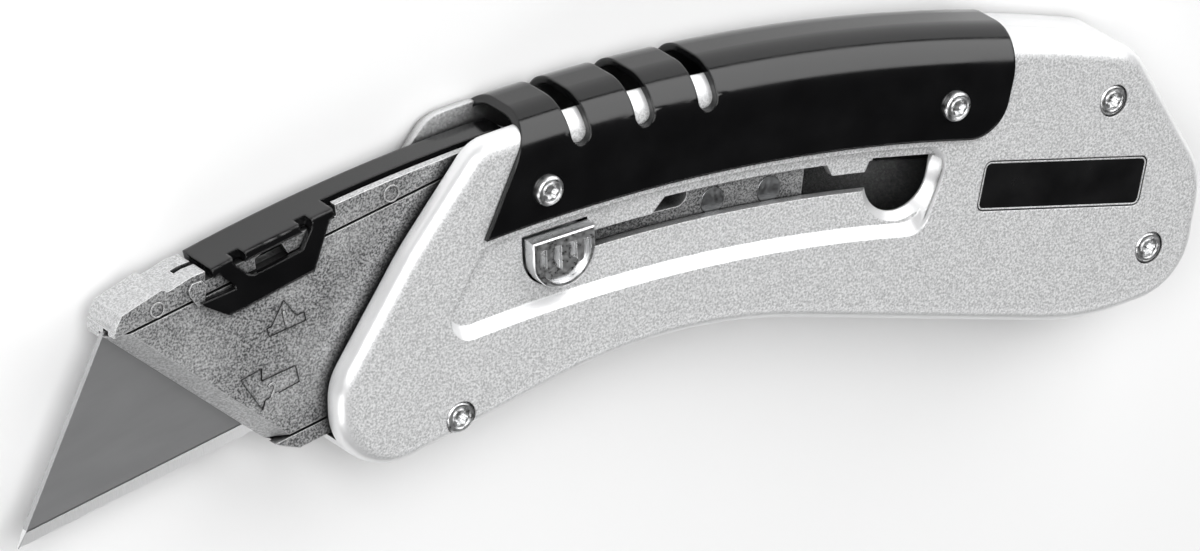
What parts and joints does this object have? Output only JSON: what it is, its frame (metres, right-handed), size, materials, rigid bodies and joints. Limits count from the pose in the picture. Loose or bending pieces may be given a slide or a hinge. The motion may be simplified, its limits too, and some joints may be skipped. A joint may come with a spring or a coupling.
{
  "type": "utility knife",
  "caption": "Slim curved pocket utility knife: silver shells, black spine cover, thumb slider and a cast nose with a quick-change trapezoid blade.",
  "frame": {"origin": "middle of the box's footprint, on the plane of the back shell's outer face", "axes": "+X along the handle towards the heel, blade towards -X; +Y up to the spine; +Z out of the face with the thumb button"},
  "size_m": [0.1358, 0.0398, 0.0121],
  "materials": {
    "silver_paint": "fine-grain metallic paint, satin",
    "gloss_black": "gloss black coating",
    "plate_black": "gloss black plate",
    "cast_zinc": "coarse die-cast zinc",
    "blade_steel": "satin steel with a bright ground edge",
    "screw_chrome": "bright plated",
    "pin_steel": "plain steel",
    "spring_steel": "spring steel",
    "soft_buffer": "soft black"
  },
  "bodies": {
    "handle": {"front_shell": "silver_paint", "back_shell": "silver_paint", "spine_cover": "gloss_black", "nameplate": "plate_black", "body_screws": "screw_chrome", "cover_screws_front": "screw_chrome", "cover_screws_back": "screw_chrome", "tail_buffer": "soft_buffer"},
    "carrier": {"blade_carrier": "cast_zinc", "guide_pins": "pin_steel", "blade": "blade_steel", "latch_pin": "pin_steel", "latch_spring": "spring_steel", "button_spring": "spring_steel"},
    "door": {"carrier_door": "cast_zinc"},
    "latch": {"latch_lever": "gloss_black"},
    "slider": {"thumb_button": "screw_chrome", "button_block": "pin_steel", "button_rivet": "pin_steel"}
  },
  "joints": [
    {"name": "blade_slide", "type": "hinge", "parent": "handle", "child": "carrier", "pos_m": [-0.00389, -0.17683, 0.0055], "axis": [0, 0, -1], "range_deg": [0, 12.9]},
    {"name": "door_slide", "type": "slide", "parent": "carrier", "child": "door", "axis": [-0.9829, -0.184, 0], "range_m": [0, 0.012]},
    {"name": "latch_lift", "type": "hinge", "parent": "carrier", "child": "latch", "pos_m": [-0.01783, 0.01531, 0.0055], "axis": [0, 0, -1], "range_deg": [0, 2], "stiffness_Nm_per_rad": 1, "springref_deg": -1.15},
    {"name": "button_press", "type": "slide", "parent": "carrier", "child": "slider", "axis": [0, 0, -1], "range_m": [0, 0.00115], "stiffness_N_per_m": 800, "springref_m": -0.0005, "deforming": ["button_spring"]}
  ]
}
